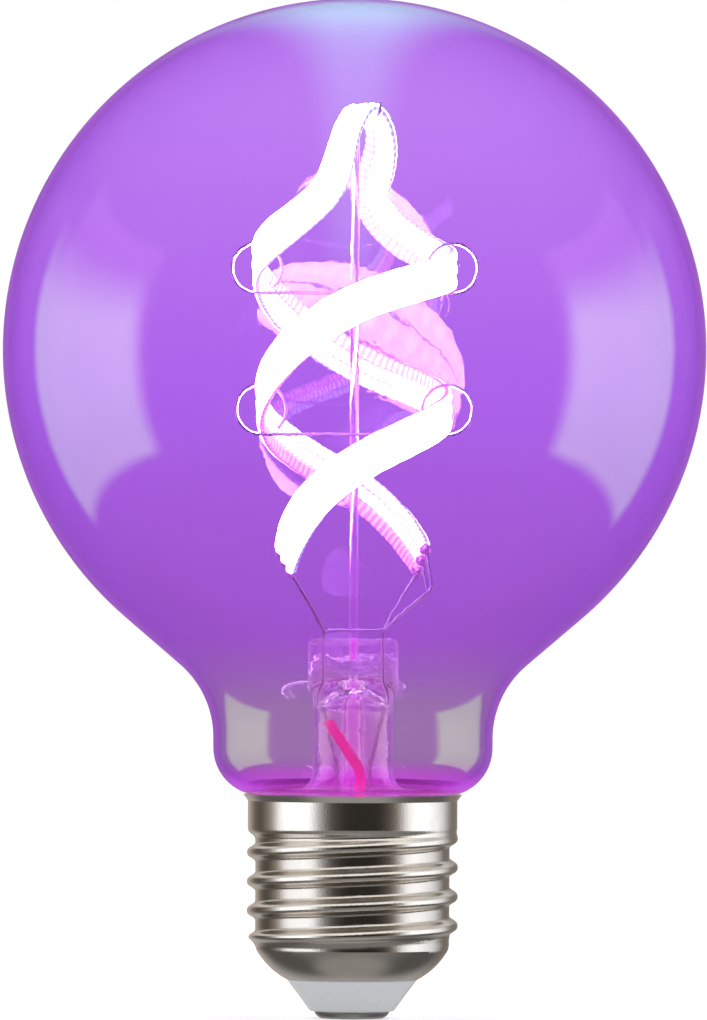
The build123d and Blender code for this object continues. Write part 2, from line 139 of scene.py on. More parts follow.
def turn(name, description, degrees):
    """Angle property, given in degrees."""
    return bpy.props.FloatProperty(
        name=name, description=description, default=math.radians(degrees), unit="ROTATION", subtype="ANGLE"
    )


def tint(name, description, default):
    """Colour property."""
    return bpy.props.FloatVectorProperty(
        name=name, description=description, default=default, size=3, subtype="COLOR", min=0.0, max=1.0
    )


def amount(name, description, default):
    """Plain number property."""
    return bpy.props.FloatProperty(name=name, description=description, default=default, precision=4)


class BulbGlass(bpy.types.PropertyGroup):
    """Globe and stem"""

    globe_radius: size("Globe Radius", "Outer radius of the blown globe", 0.0438)
    wall: size("Wall", "Thickness of the blown wall", 0.0008)
    shoulder_angle: turn("Shoulder Angle", "Slope of the straight shoulder below the globe", 49.4)
    neck_radius: size("Neck Radius", "Outer radius of the neck", 0.0174)
    neck_height: size("Neck Height", "Straight length of the neck", 0.0012)
    neck_bend: size("Neck Bend", "Radius of the bend from neck to shoulder", 0.012)
    base_bend: size("Base Bend", "Radius of the bend at the bottom of the neck", 0.006)
    base_angle: turn("Base Angle", "Turn of the bend at the bottom of the neck", 70)
    spigot_radius: size("Spigot Radius", "Outer radius of the glass inside the cap", 0.0122)
    seat: size("Seat", "Height where the neck meets the cap", 0.0276)
    foot: size("Foot", "Height of the lower edge of the glass", 0.0238)
    segments: bpy.props.IntProperty(name="Segments", description="Steps round the globe", default=160)
    # Violet of the globe from crown to base: the strips' light painted into the tint of the clear glass
    crown_color: tint("Crown", "Tint at the top of the globe", (0.74, 0.47, 0.97))
    belly_color: tint("Belly", "Tint at the middle of the globe", (0.648, 0.346, 0.92))
    shoulder_color: tint("Shoulder", "Tint of the shoulder", (0.595, 0.285, 0.80))
    neck_color: tint("Neck", "Tint of the neck", (0.56, 0.40, 0.62))
    base_color: tint("Base", "Tint of the lit ring above the cap", (0.66, 0.25, 0.74))
    # Painted halo: pale glow of the strips' light round the pole, also the tint that lamp light takes
    # through the globe
    pole_color: tint("Pole", "Pale tint round the pole", (0.78, 0.68, 0.99))
    # Painted glow on the glass ring above the cap, standing in for the strips' light on it
    rim_glow: tint("Rim Glow", "Light that the glass ring above the cap gives off", (0.085, 0.008, 0.08))
    stem_color: tint("Stem", "Tint of the stem glass", (0.97, 0.90, 0.99))
    # Painted glow: the strips' light given off by the stem glass, brighter towards its edges
    stem_glow: tint("Stem Glow", "Light that the stem glass gives off", (0.085, 0.016, 0.062))
    stem_edge: tint("Stem Edge", "Light that the stem's edges gather", (0.24, 0.19, 0.25))


class BulbFilament(bpy.types.PropertyGroup):
    """Strips and their double spiral"""

    width: size("Strip Width", "Width of one strip", 0.0015)
    thickness: size("Strip Thickness", "Thickness of one strip", 0.0009)
    gap: size("Strip Gap", "Gap between neighbouring strips", 0.0001)
    corner: size("Strip Corner", "Radius of the coat's corners", 0.0003)
    chip_pitch: size("Chip Pitch", "Distance between light chips along a strip", 0.00095)
    chip_length: size("Chip Length", "Length of a chip's dome", 0.00062)
    chip_width: size("Chip Width", "Width of a chip's dome", 0.00086)
    chip_rise: size("Chip Rise", "How far a chip's dome stands out of the coat", 0.00012)
    end_angle: turn("End Angle", "Where a strip starts, about the axis", 40)
    end_reach: size("End Reach", "Distance of a strip's end from the axis", 0.011)
    end_height: size("End Height", "Height of the strip ends", 0.0572)
    coil_radius: size("Coil Radius", "Radius of the double spiral before and behind the rod", 0.0145)
    lower_reach: size("Lower Reach", "Distance of the lower rings from the axis", 0.0116)
    lower_height: size("Lower Height", "Height of the lower rings", 0.0758)
    upper_reach: size("Upper Reach", "Distance of the upper rings from the axis", 0.0122)
    upper_height: size("Upper Height", "Height of the upper rings", 0.0934)
    arch_height: size("Arch Height", "Height where the arch over the hook begins", 0.11045)
    arch_radius: size("Arch Radius", "Radius of the arch over the hook", 0.003)
    arch_lean: size("Arch Lean", "How far the arch stands off the axis", 0.00105)
    arch_angle: turn("Arch Angle", "Way from the arch's middle to its rear foot, about the axis", 47)
    red_light: tint("Red Light", "Light of the red strip", (1.0, 0.32, 0.74))
    green_light: tint("Green Light", "Light of the green strip", (0.98, 0.80, 1.0))
    blue_light: tint("Blue Light", "Light of the blue strip", (0.34, 0.66, 1.0))
    front_power: amount("Front Power", "Brightness of the side that carries the chips", 24.0)
    back_power: amount("Back Power", "Brightness of the bare side", 8.0)
    pink_back: amount("Pink Back", "Brightness of the red strip's bare side near its lower end", 1.3)
    pink_length: size("Pink Length", "How far the red strip's bare side stays pink", 0.042)
    edge_power: amount("Edge Power", "Brightness of the narrow sides", 0.45)
    edge_dots: amount("Edge Dots", "Brightness of the dots along the narrow sides", 1.1)


class BulbCap(bpy.types.PropertyGroup):
    """Screw cap and wires"""

    thread_major: size("Thread Crest", "Radius over the thread's crests", 0.01315)
    thread_minor: size("Thread Root", "Radius over the thread's roots", 0.0121)
    thread_low: size("Thread Low", "Height where the thread begins", 0.0087)
    thread_length: size("Thread Length", "Height of the thread", 0.0152)
    thread_runout: size("Thread Runout", "Height over which the thread fades in", 0.0024)
    shell_wall: size("Shell Wall", "Thickness of the shell", 0.00035)
    crest_foot: amount("Crest Foot", "Share of the thread's depth at which a crest starts", 0.25)
    crest_head: amount("Crest Head", "Share of the thread's depth at which a crest is full", 1.05)
    nickel_color: tint("Nickel", "Plate of the screw shell", (0.72, 0.665, 0.60))
    # Painted shade: darker plate in the thread roots, where shade falls
    grime_color: tint("Grime", "Dull plate in the thread roots", (0.40, 0.36, 0.32))
    insulator_color: tint("Insulator", "White insulator", (0.81, 0.835, 0.85))
    contact_color: tint("Contact", "Tinned centre contact", (0.52, 0.51, 0.50))
    sleeve_color: tint("Sleeve", "Sleeve on the common lead", (0.92, 0.03, 0.26))
    # Wire metal's own pale grey with the strips' pink light painted in
    wire_color: tint("Wire", "Lead and support wires", (0.78, 0.64, 0.78))
    # Solder's grey painted pink with the strips' light
    solder_color: tint("Solder", "Solder beads", (0.98, 0.55, 0.86))
    cement_color: tint("Cement", "Cement between glass and cap", (0.80, 0.76, 0.70))


class BulbStage(bpy.types.PropertyGroup):
    """Camera, floor and light"""

    distance: size("Camera Distance", "Camera to the lamp's axis", 1.6)
    aim_height: size("Aim Height", "Height of the middle of the picture", 0.0633)
    aim_side: size("Aim Side", "Side offset of the middle of the picture", -0.00005)
    pixels_per_mm: amount("Pixels per Millimetre", "Scale of the picture at the lamp's axis", 8.03)
    roll: turn("Roll", "Lean of the lamp in the picture", 0.24)
    floor_color: tint("Floor", "Plain pale floor", (0.86, 0.86, 0.86))
    fill: amount("Fill", "Even light from all round", 0.75)
    box_color: tint("Soft Box", "Colour of the soft boxes in the glass", (0.60, 1.0, 0.34))
    box_power: amount("Soft Box Power", "Brightness of the soft boxes in the glass", 4.3)
    top_color: tint("Top Light", "Colour of the light above in the glass", (0.46, 0.97, 0.74))
    top_power: amount("Top Light Power", "Brightness of the light above in the glass", 1.8)
    deep_color: tint("Deep", "Light that reaches reflections through both walls", (0.10, 0.07, 0.12))
    violet_color: tint("Violet", "The lamp's own light round about, in the glass", (0.46, 0.17, 0.70))
    below: amount("Below", "Brightness from below in the metal", 0.42)
    above: amount("Above", "Brightness from above in the metal", 0.12)


# Meshes


def add_piece(name, mesh, material, node):
    """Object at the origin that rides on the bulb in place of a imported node."""
    piece = bpy.data.objects.new(name, mesh)
    bpy.context.scene.collection.objects.link(piece)
    if material is not None:
        mesh.materials.clear()
        mesh.materials.append(material)
    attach(piece, BODY)
    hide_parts(node)


def dress(node, material, sharp):
    """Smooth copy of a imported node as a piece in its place."""
    add_piece(node + "_piece", smooth_copy(node, sharp), material, node)


def smooth(share):
    """Smooth step of a share, or of an array of shares, from 0 to 1."""
    return share * share * (3 - 2 * share)


def ease(low, high, value):
    """Smooth step from 0 at low to 1 at high."""
    return smooth(min(1.0, max(0.0, (value - low) / (high - low))))


def arc_points(centre, radius, start, end, steps):
    """Points of an arc in the profile plane, angles in radians."""
    points = []
    for step in range(steps + 1):
        angle = start + (end - start) * step / steps
        points.append((centre[0] + radius * math.cos(angle), centre[1] + radius * math.sin(angle)))
    return points


def lathe(name, profile, segments):
    """Closed mesh turned about Z from a profile that starts and ends on the axis, outside first."""
    build = bmesh.new()
    rings = []
    for radius, height in profile:
        if radius < ON_AXIS:
            rings.append([build.verts.new((0.0, 0.0, height))])
            continue
        ring = []
        for step in range(segments):
            angle = 2 * math.pi * step / segments
            ring.append(build.verts.new((radius * math.cos(angle), radius * math.sin(angle), height)))
        rings.append(ring)
    for above, below in zip(rings, rings[1:]):
        for step in range(segments):
            after = (step + 1) % segments
            if len(above) == 1:
                build.faces.new((above[0], below[step], below[after]))
            elif len(below) == 1:
                build.faces.new((above[after], above[step], below[0]))
            else:
                build.faces.new((above[after], above[step], below[step], below[after]))
    mesh = bpy.data.meshes.new(name)
    build.to_mesh(mesh)
    build.free()
    mesh.shade_smooth()
    mesh.set_sharp_from_angle(angle=math.radians(LATHE_SHARP))
    return mesh


def smooth_copy(node, sharp):
    """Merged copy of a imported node's mesh, smooth but for edges sharper than an angle in degrees."""
    build = bmesh.new()
    build.from_mesh(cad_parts[node].data)
    bmesh.ops.remove_doubles(build, verts=build.verts, dist=MERGE_DISTANCE)
    mesh = bpy.data.meshes.new(node + "_dressed")
    build.to_mesh(mesh)
    build.free()
    for name in [layer.name for layer in mesh.attributes if layer.name == "custom_normal"]:
        mesh.attributes.remove(mesh.attributes[name])
    mesh.shade_smooth()
    mesh.set_sharp_from_angle(angle=math.radians(sharp))
    return mesh


def pinch_crests(mesh, look):
    """Rounds the rolled thread's crests, steepens their flanks and widens the roots."""
    places = np.empty((len(mesh.vertices), 3))
    normals = np.empty((len(mesh.vertices), 3))
    mesh.vertices.foreach_get("co", places.ravel())
    mesh.vertices.foreach_get("normal", normals.ravel())
    reach = np.hypot(places[:, 0], places[:, 1])
    inside = np.sum(places[:, :2] * normals[:, :2], axis=1) < 0
    depth = look.thread_major - look.thread_minor
    share = np.clip((reach + inside * look.shell_wall - look.thread_minor) / depth, 0.0, 1.0)
    height = places[:, 2] - look.thread_low
    run = np.clip(np.minimum(height, look.thread_length - height) / look.thread_runout, 0.0, 1.0)
    crest = np.clip((share - look.crest_foot) / (look.crest_head - look.crest_foot), 0.0, 1.0)
    shift = (share - smooth(crest)) * depth * smooth(run)
    places[:, :2] *= (1 - shift / reach)[:, None]
    mesh.vertices.foreach_set("co", places.ravel())
    mesh.update()


# Materials


class Shades:
    """Short way to place nodes in a tree and join them."""

    def __init__(self, tree):
        self.tree = tree
        self.column = 0

    def add(self, kind, inputs=None, **settings):
        """Node with its settings and input values; a socket given as a value is linked."""
        node = self.tree.nodes.new(kind)
        node.location = (self.column, 0)
        self.column += NODE_STEP
        for key, value in settings.items():
            setattr(node, key, value)
        for key, value in (inputs or {}).items():
            socket = node.inputs[key]
            if isinstance(value, bpy.types.NodeSocket):
                self.join(value, socket)
            else:
                socket.default_value = value
        return node

    def join(self, out, into):
        """Links an output to an input."""
        self.tree.links.new(out, into)

    def out(self, kind, inputs=None, **settings):
        """First output of a new node."""
        return self.add(kind, inputs, **settings).outputs[0]

    def math(self, operation, *values, **settings):
        """Result of an operation on numbers or sockets."""
        return self.out("ShaderNodeMath", dict(enumerate(values)), operation=operation, **settings)

    def remap(self, value, low, high, start=0.0, end=1.0, kind="LINEAR"):
        """Value taken from one range to another and kept inside it."""
        inputs = {"Value": value, "From Min": low, "From Max": high, "To Min": start, "To Max": end}
        return self.out("ShaderNodeMapRange", inputs, interpolation_type=kind)

    def store(self, geometry, name, value):
        """Geometry with a number kept on its points."""
        inputs = {"Geometry": geometry, "Name": name, "Value": value}
        return self.out("GeometryNodeStoreNamedAttribute", inputs, data_type="FLOAT", domain="POINT")


def made_once(make):
    """Finds the node group that has a function's name, or has the function make it."""

    def found():
        return bpy.data.node_groups.get(make.__name__) or make()

    return found


def new_group(name, inputs, outputs):
    """Shader group with number sockets, as (group, shades, what comes in, what goes out)."""
    group = bpy.data.node_groups.new(name, "ShaderNodeTree")
    for label, default in inputs.items():
        socket = group.interface.new_socket(name=label, in_out="INPUT", socket_type="NodeSocketFloat")
        socket.default_value = default
    for label in outputs:
        group.interface.new_socket(name=label, in_out="OUTPUT", socket_type="NodeSocketFloat")
    shades = Shades(group)
    return group, shades, shades.add("NodeGroupInput").outputs, shades.add("NodeGroupOutput").inputs


@made_once
def bulb_grain():
    """Fine grain: a mask and a height from noise at two sizes, on Object coordinates."""
    inputs = {"Scale": 3000.0, "Contrast": 1.0}
    group, shades, source, sink = new_group("bulb_grain", inputs, ("Mask", "Height"))
    place = shades.add("ShaderNodeTexCoord").outputs["Object"]
    fine = shades.add(
        "ShaderNodeTexNoise", {"Vector": place, "Scale": source["Scale"], "Detail": 3.0, "Roughness": 0.6}
    )
    wide = shades.math("MULTIPLY", source["Scale"], BROAD_SHARE)
    broad = shades.add("ShaderNodeTexNoise", {"Vector": place, "Scale": wide, "Detail": 4.0})
    both = shades.math("MULTIPLY", fine.outputs["Fac"], broad.outputs["Fac"])
    strong = shades.math("MULTIPLY", shades.math("SUBTRACT", both, 0.25), source["Contrast"])
    shades.join(shades.math("ADD", strong, 0.5, use_clamp=True), sink["Mask"])
    shades.join(fine.outputs["Fac"], sink["Height"])
    return group


@made_once
def bulb_height():
    """Share of the way between two heights, and the distance from the axis, on Object coordinates."""
    group, shades, source, sink = new_group("bulb_height", {"Low": 0.0, "High": 0.1}, ("Share", "Reach"))
    place = shades.add("ShaderNodeTexCoord").outputs["Object"]
    parts = shades.add("ShaderNodeSeparateXYZ", {0: place}).outputs
    flat = shades.out("ShaderNodeCombineXYZ", {"X": parts["X"], "Y": parts["Y"]})
    reach = shades.add("ShaderNodeVectorMath", {0: flat}, operation="LENGTH")
    shades.join(shades.remap(parts["Z"], source["Low"], source["High"]), sink["Share"])
    shades.join(reach.outputs["Value"], sink["Reach"])
    return group


def new_material(name):
    """Material with an empty tree and its output, as (material, shades, output)."""
    material = bpy.data.materials.new(name)
    material.use_nodes = True
    material.node_tree.nodes.clear()
    shades = Shades(material.node_tree)
    return material, shades, shades.add("ShaderNodeOutputMaterial")


def use_group(shades, group, **values):
    """What comes out of a group with its input values."""
    return shades.add("ShaderNodeGroup", values, node_tree=group).outputs


def ramp(shades, share, stops):
    """Colour ramp through (place, colour) stops."""
    node = shades.add("ShaderNodeValToRGB", {"Fac": share})
    elements = node.color_ramp.elements
    while len(elements) < len(stops):
        elements.new(0.5)
    for element, (place, colour) in zip(elements, stops):
        element.position = place
        element.color = (*colour, 1.0)
    return node.outputs["Color"]


def blend(shades, factor, first, second):
    """Colour mixed from two colours or sockets."""
    node = shades.add("ShaderNodeMix", {0: factor}, data_type="RGBA")
    for index, value in ((6, first), (7, second)):
        if isinstance(value, bpy.types.NodeSocket):
            shades.join(value, node.inputs[index])
        else:
            node.inputs[index].default_value = (*value, 1.0)
    return node.outputs[2]


def shaded(colour, share):
    """Colour at a share of its brightness."""
    return tuple(c * share for c in colour)


def bump(shades, height, strength, distance):
    """Normal from a height."""
    return shades.out("ShaderNodeBump", {"Height": height, "Strength": strength, "Distance": distance})


def cap_mirror(shades, path):
    """One for light that the cap's metal mirrors before it meets any glass."""
    rough = shades.math("GREATER_THAN", path["Is Glossy Ray"], path["Is Singular Ray"])
    outside = shades.math("LESS_THAN", path["Transmission Depth"], 0.5)
    return shades.math("MULTIPLY", rough, outside)


def surface(shades, colour, roughness, normal, **others):
    """Principled shader node; names of other inputs have underscores for spaces."""
    inputs = {"Base Color": colour, "Roughness": roughness, "Normal": normal}
    for key, value in others.items():
        inputs[key.replace("_", " ")] = value
    return shades.add("ShaderNodeBsdfPrincipled", inputs)


def clear_glass(shades, output, colour, index, glow, normal, shade):
    """Glowing glass that lets lamp light through, tinted, and stays out of the cap's reflections."""
    glass = surface(shades, colour, 0.0, normal, Metallic=0.0, IOR=index, Transmission_Weight=1.0)
    shades.join(glow, glass.inputs["Emission Color"])
    glass.inputs["Emission Strength"].default_value = 1.0
    path = shades.add("ShaderNodeLightPath").outputs
    mirrored = cap_mirror(shades, path)
    thin = shades.out("ShaderNodeBsdfTransparent", {"Color": blend(shades, mirrored, shade, WHITE)})
    unseen = shades.math("MAXIMUM", path["Is Shadow Ray"], mirrored)
    mix = shades.out("ShaderNodeMixShader", {0: unseen, 1: glass.outputs[0], 2: thin})
    shades.join(mix, output.inputs["Surface"])


def globe_glass(look):
    """Blown glass with the lamp's own violet light painted into its tint, a painted pale halo round the pole
    and a painted glow on the ring above the cap.
    """
    material, shades, output = new_material("globe_glass")
    height = use_group(shades, bulb_height(), Low=look.seat, High=CAD_BOX[1].z)
    # Painted lamp light: the strips' violet given as the glass's tint, by height
    lamp_light_tints = [
        (0.0, look.base_color),
        (0.022, look.base_color),
        (0.045, look.neck_color),
        (0.115, look.neck_color),
        (0.20, look.shoulder_color),
        (0.52, look.belly_color),
        (0.86, look.crown_color),
    ]
    # Painted glow: only the ring above the cap gives off light
    glows = [(0.0, look.rim_glow), (0.014, look.rim_glow), (0.030, (0.0, 0.0, 0.0))]
    # Painted halo: the upper pole goes pale near the axis, standing in for the strips' glow
    halo_near_pole = shades.remap(height["Reach"], *POLE_HALO_BAND, kind="SMOOTHSTEP")
    upper = shades.math("GREATER_THAN", height["Share"], 0.5)
    pole = shades.math("MULTIPLY", halo_near_pole, upper)
    colour = blend(shades, pole, ramp(shades, height["Share"], lamp_light_tints), look.pole_color)
    grain = use_group(shades, bulb_grain(), Scale=160.0, Contrast=1.0)
    colour = blend(shades, grain["Mask"], colour, blend(shades, HAZE_SHARE, colour, HAZE_TINT))
    glow = ramp(shades, height["Share"], glows)
    normal = bump(shades, grain["Height"], strength=0.04, distance=0.0004)
    clear_glass(shades, output, colour, GLOBE_INDEX, glow, normal, look.pole_color)
    return material


def stem_glass(look):
    """Worked tube glass with slow waves and small seeds, and a painted glow of the strips' light that is
    brighter at its edges.
    """
    material, shades, output = new_material("stem_glass")
    grain = use_group(shades, bulb_grain(), Scale=420.0, Contrast=1.4)
    # Painted glow, patchy, and brighter where the faces turn away from the view
    glow = blend(shades, grain["Mask"], shaded(look.stem_glow, 0.5), look.stem_glow)
    facing = shades.add("ShaderNodeLayerWeight", {"Blend": 0.5}).outputs["Facing"]
    glow = blend(shades, shades.remap(facing, *STEM_EDGE), glow, look.stem_edge)
    colour = blend(shades, grain["Mask"], look.stem_color, SEED_TINT)
    normal = bump(shades, grain["Height"], strength=0.25, distance=0.0005)
    clear_glass(shades, output, colour, STEM_INDEX, glow, normal, look.stem_color)
    return material


def strip_light(name, look, light, back_power, front_power):
    """Phosphor that glows: most where the chips sit, dotted behind, coloured at the edges."""
    material, shades, output = new_material(name)
    side = shades.add("ShaderNodeAttribute", attribute_name="side").outputs["Fac"]
    along = shades.add("ShaderNodeAttribute", attribute_name="along").outputs["Fac"]
    wave = shades.math("COSINE", shades.math("MULTIPLY", along, 2 * math.pi / look.chip_pitch))
    beat = shades.remap(wave, *CHIP_BEAT)
    front = shades.remap(side, *CHIP_SIDE)
    back = shades.remap(side, *BARE_SIDE)
    dots = shades.math("MULTIPLY_ADD", beat, look.edge_dots, look.edge_power)
    pink_end = look.pink_length
    bare = shades.remap(along, pink_end - PINK_FADE, pink_end + PINK_FADE, back_power, look.back_power)
    dashed = shades.math("MULTIPLY", bare, shades.remap(beat, 0.0, 1.0, start=DASH_FLOOR))
    behind = shades.math("MULTIPLY_ADD", back, dashed, dots)
    power = shades.math("MULTIPLY_ADD", front, front_power, behind)
    mirrored = cap_mirror(shades, shades.add("ShaderNodeLightPath").outputs)
    shown = shades.math("SUBTRACT", 1.0, mirrored)
    grain = use_group(shades, bulb_grain(), Scale=2600.0, Contrast=1.6)
    pale = tuple(0.6 * c + 0.4 for c in light)
    lit = blend(shades, shades.math("MULTIPLY", beat, 0.6), light, pale)
    lit = blend(shades, front, lit, CHIP_LIGHT)
    power = shades.math("MULTIPLY", power, shown)
    colour = blend(shades, grain["Mask"], light, CHIP_LIGHT)
    normal = bump(shades, grain["Height"], strength=0.2, distance=0.00005)
    coat = surface(shades, colour, 0.35, normal, Emission_Color=lit, Emission_Strength=power)
    shades.join(coat.outputs[0], output.inputs["Surface"])
    return material


def grainy(name, colour, dull, roughs, scale, contrast, relief, metallic=0.0, coat=0.0, glow=0.0):
    """Grainy surface between two shades and two roughnesses; relief is a bump's strength and distance, and
    glow paints light of the surface's own shade.
    """
    material, shades, output = new_material(name)
    grain = use_group(shades, bulb_grain(), Scale=scale, Contrast=contrast)
    shade = blend(shades, grain["Mask"], dull, colour)
    rough = shades.remap(grain["Mask"], 0.0, 1.0, *roughs)
    normal = bump(shades, grain["Height"], *relief)
    skin = surface(shades, shade, rough, normal, Metallic=metallic, Coat_Weight=coat)
    # Painted light: the surface gives off its own shade
    if glow:
        shades.join(shade, skin.inputs["Emission Color"])
        skin.inputs["Emission Strength"].default_value = glow
    shades.join(skin.outputs[0], output.inputs["Surface"])
    return material


def metal(name, colour, dull, rough, scale, depth, glow=0.0):
    """Plated or drawn metal with fine grain, and a painted glow, where one is given, that stands in for the
    light of the strips next to it.
    """
    roughs = (rough * 1.7, rough * 0.7)
    return grainy(name, colour, dull, roughs, scale, 1.6, (depth, 0.00004), metallic=1.0, glow=glow)


def plain_finish(name, colour, rough, scale, depth, coat=0.0, spread=0.15, glow=0.0):
    """Moulded, painted or cemented surface with a little grain, and a painted glow where one is given."""
    dull, roughs = shaded(colour, 1 - spread), (rough * 1.25, rough * 0.85)
    return grainy(name, colour, dull, roughs, scale, 1.5, (depth, 0.00003), coat=coat, glow=glow)


def nickel_plate(look):
    """Bright nickel on drawn sheet: pitted grain, rolled lines and painted shade that darkens the thread
    roots.
    """
    material, shades, output = new_material("nickel_plate")
    grain = use_group(shades, bulb_grain(), Scale=5200.0, Contrast=2.2)
    reach = use_group(shades, bulb_height(), Low=0.0, High=1.0)["Reach"]
    # Painted shade: the plate darkens from the crests into the thread roots
    root_shade = shades.remap(reach, *ROOT_SHADE_BAND, ROOT_SHADE_SHARE, 0.0)
    place = shades.add("ShaderNodeTexCoord").outputs["Object"]
    drawn = shades.out("ShaderNodeMapping", {"Vector": place, "Scale": DRAWN_SCALE})
    lines = shades.add("ShaderNodeTexNoise", {"Vector": drawn, "Scale": 1.0, "Detail": 2.0}).outputs["Fac"]
    relief = shades.math("MULTIPLY_ADD", lines, LINE_DEPTH, grain["Height"])
    plate = blend(shades, grain["Mask"], shaded(look.nickel_color, 0.86), look.nickel_color)
    plate = blend(shades, root_shade, plate, look.grime_color)
    rough = shades.remap(grain["Mask"], 0.0, 1.0, *NICKEL_ROUGHS)
    skin = surface(shades, plate, rough, bump(shades, relief, strength=0.40, distance=0.00004), Metallic=1.0)
    shades.join(skin.outputs[0], output.inputs["Surface"])
    return material


# Glass


def globe_profile(look):
    """Outer line from the pole down to the glass's foot, then the inner line back up."""
    slope, base = look.shoulder_angle, look.base_angle
    base_x = look.neck_radius - look.base_bend
    end_x = base_x + look.base_bend * math.cos(base)
    z_end = look.seat + (end_x - look.spigot_radius) / math.tan(base)
    z_base = z_end + look.base_bend * math.sin(base)
    z_bend = z_base + look.neck_height
    bend_x = look.neck_radius + look.neck_bend
    bend_end = look.neck_radius + look.neck_bend * (1 - math.cos(slope))
    run = (look.globe_radius * math.cos(slope) - bend_end) / math.sin(slope)
    z_globe = z_bend + look.neck_bend * math.sin(slope) + run * math.cos(slope)
    z_globe += look.globe_radius * math.sin(slope)

    def line(inset):
        """Points of the line at a depth in the wall."""
        points = arc_points((0, z_globe), look.globe_radius - inset, math.pi / 2, -slope, GLOBE_STEPS)
        points[0] = (0.0, points[0][1])
        below = arc_points((bend_x, z_bend), look.neck_bend + inset, math.pi - slope, math.pi, BEND_STEPS)
        first, last = points[-1], below[0]
        for step in range(1, SHOULDER_STEPS):
            share = step / SHOULDER_STEPS
            points.append((first[0] + (last[0] - first[0]) * share, first[1] + (last[1] - first[1]) * share))
        points += below
        points += arc_points((base_x, z_base), look.base_bend - inset, 0, -base, BASE_STEPS)
        spigot = look.spigot_radius - inset
        lowest = points[-1]
        z_corner = lowest[1] - (lowest[0] - spigot) / math.tan(base)
        points.append((spigot, z_corner))
        points.append((spigot, look.foot))
        return points

    return line(0.0) + list(reversed(line(look.wall)))


class BULB_OT_make_globe(bpy.types.Operator):
    """Blows the globe with its shoulder and neck"""

    bl_idname = "bulb.make_globe"
    bl_label = "Globe"

    def execute(self, context):
        look = context.scene.bulb_glass
        mesh = lathe("globe", globe_profile(look), look.segments)
        add_piece("globe", mesh, globe_glass(look), "glass_envelope")
        return {"FINISHED"}


class BULB_OT_make_mount(bpy.types.Operator):
    """Makes the stem, its exhaust tube and the rod"""

    bl_idname = "bulb.make_mount"
    bl_label = "Stem and Rod"

    def execute(self, context):
        glass = stem_glass(context.scene.bulb_glass)
        for node in ("glass_stem", "exhaust_tube", "support_rod"):
            dress(node, glass, GLASS_SHARP)
        return {"FINISHED"}


# Filament strips


def polar(angle, radius, height):
    """Point about the axis."""
    return np.array((radius * math.cos(angle), radius * math.sin(angle), height))


def end_slope(knots, points):
    """Slope at the first of four points on the cubic through them."""
    steps = knots - knots[0]
    return np.linalg.solve(np.vander(steps, 4, increasing=True), points)[1]


def smooth_line(points, count):
    """Points and directions evenly along the smooth curve through some points."""
    points = np.array(points)
    gaps = np.linalg.norm(np.diff(points, axis=0), axis=1)
    knots = np.concatenate(([0.0], np.cumsum(gaps)))
    last = len(points) - 1
    rise = np.diff(points, axis=0) / gaps[:, None]
    system = np.zeros((last + 1, last + 1))
    right = np.zeros((last + 1, 3))
    system[0, 0] = system[last, last] = 1.0
    right[0] = end_slope(knots[:4], points[:4])
    right[last] = end_slope(knots[:-5:-1], points[:-5:-1])
    for row in range(1, last):
        before, after = gaps[row - 1], gaps[row]
        system[row, row - 1 : row + 2] = after, 2 * (before + after), before
        right[row] = 3 * (after * rise[row - 1] + before * rise[row])
    slopes = np.linalg.solve(system, right)

    def at(value):
        """Point of the curve at a knot value."""
        index = min(int(np.searchsorted(knots, value, side="right")) - 1, last - 1)
        gap = gaps[index]
        t = (value - knots[index]) / gap
        return (
            (2 * t**3 - 3 * t**2 + 1) * points[index]
            + (t**3 - 2 * t**2 + t) * gap * slopes[index]
            + (3 * t**2 - 2 * t**3) * points[index + 1]
            + (t**3 - t**2) * gap * slopes[index + 1]
        )

    fine = np.array([at(value) for value in np.linspace(0.0, knots[-1], CURVE_STEPS)])
    run = np.concatenate(([0.0], np.cumsum(np.linalg.norm(np.diff(fine, axis=0), axis=1))))
    even = np.linspace(0.0, run[-1], count)
    line = np.column_stack([np.interp(even, run, fine[:, axis]) for axis in range(3)])
    return line, np.gradient(line, axis=0)


def strand(look, start, low_share, high_share, *climb):
    """Way points of one strand of the double spiral from its lower end to the arch."""
    quarter = math.pi / 2
    ends, lower, upper, arch = look.end_height, look.lower_height, look.upper_height, look.arch_height
    marks = [
        (look.end_angle, look.end_reach, ends),
        (quarter, look.coil_radius, ends + low_share * (lower - ends)),
        (2 * quarter, look.lower_reach, lower),
        (3 * quarter, look.coil_radius, lower + high_share * (upper - lower)),
        (4 * quarter, look.upper_reach, upper),
    ]
    for turned, (reach, share) in zip(climb, CLIMB_MARKS):
        marks.append((4 * quarter + math.radians(turned), reach, upper + share * (arch - upper)))
    return [polar(angle + start, radius, height) for angle, radius, height in marks]


def strip_route(look, place):
    """Centre line of one strip and the way its chips face; place is -1, 0 or 1 across the bundle."""
    middle = np.array((look.arch_lean, 0.0, look.arch_height))
    foot = polar(look.arch_angle, look.arch_radius, 0.0)
    arch = [middle + foot, middle + np.array((0.0, 0.0, look.arch_radius)), middle - foot]
    rise = strand(look, 0.0, *REAR_STRAND)
    fall = strand(look, math.pi, *FRONT_STRAND)
    line, heading = smooth_line(rise + arch + fall[::-1], ROUTE_STEPS)
    route, facing = [], []
    for point, along in zip(line, heading):
        lean = look.arch_lean * ease(look.upper_height, look.arch_height, point[2])
        out = point - np.array((lean, 0.0, min(point[2], look.arch_height)))
        across = np.cross(out, along)
        across /= np.linalg.norm(across)
        route.append(point + across * (place * (look.width + look.gap)))
        facing.append(out / np.linalg.norm(out))
    route, facing = np.array(route), np.array(facing)
    heading = np.gradient(route, axis=0)
    heading /= np.linalg.norm(heading, axis=1)[:, None]
    facing -= heading * np.sum(facing * heading, axis=1)[:, None]
    facing /= np.linalg.norm(facing, axis=1)[:, None]
    return route, facing


STRIP_SIZES = ("width", "thickness", "corner", "chip_pitch", "chip_length", "chip_width", "chip_rise")


